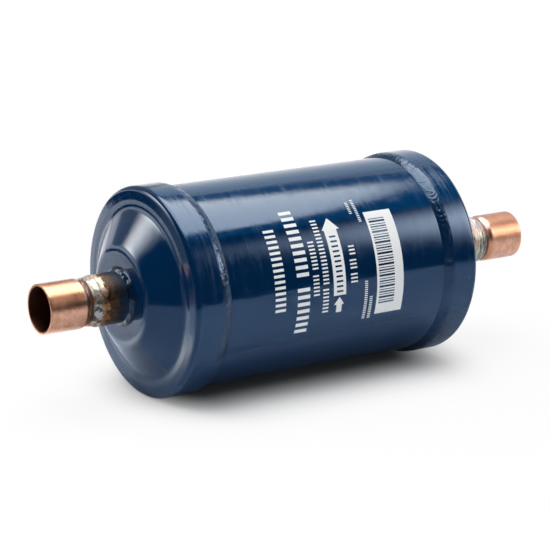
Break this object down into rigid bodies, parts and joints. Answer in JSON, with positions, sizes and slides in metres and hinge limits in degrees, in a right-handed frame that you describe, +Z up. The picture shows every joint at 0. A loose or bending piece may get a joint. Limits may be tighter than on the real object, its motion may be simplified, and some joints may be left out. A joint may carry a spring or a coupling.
{
  "type": "filter drier",
  "caption": "Refrigerant filter drier: a welded steel drum with domed end caps, copper solder sockets in line, and a desiccant core pressed by a spring inside.",
  "frame": {"origin": "on the flow axis, midway between the mouths of the two sockets", "axes": "+X along the flow from the inlet to the outlet, +Z up with the drier lying on its side"},
  "size_m": [0.2068, 0.076, 0.076],
  "materials": {
    "painted_steel": "glossy navy enamel on steel",
    "painted_weld": "navy enamel over weld metal",
    "nipple_steel": "copper-flashed steel, darkened by brazing heat",
    "copper": "bare drawn copper, a little stained",
    "silver_braze": "silver brazing alloy as it froze",
    "plain_steel": "plain pressed steel",
    "mesh_steel": "stainless wire mesh",
    "spring_steel": "drawn spring wire",
    "filter_felt": "needled polyester felt",
    "seal_felt": "dense grey felt",
    "moulded_desiccant": "porous moulded beads"
  },
  "bodies": {
    "root": {"core_seal_ring": "seal_felt", "desiccant_core": "moulded_desiccant", "inlet_braze_joint": "silver_braze", "inlet_cap": "painted_steel", "inlet_connector": "copper", "inlet_filter_pad": "filter_felt", "inlet_nipple": "nipple_steel", "inlet_nipple_weld": "painted_weld", "inlet_seam_weld": "painted_weld", "outlet_braze_joint": "silver_braze", "outlet_cap": "painted_steel", "outlet_connector": "copper", "outlet_filter_pad": "filter_felt", "outlet_nipple": "nipple_steel", "outlet_nipple_weld": "painted_weld", "outlet_screen": "mesh_steel", "outlet_seam_weld": "painted_weld", "shell": "painted_steel", "spring": "spring_steel", "spring_plate": "plain_steel", "support_plate": "plain_steel"}
  },
  "joints": []
}
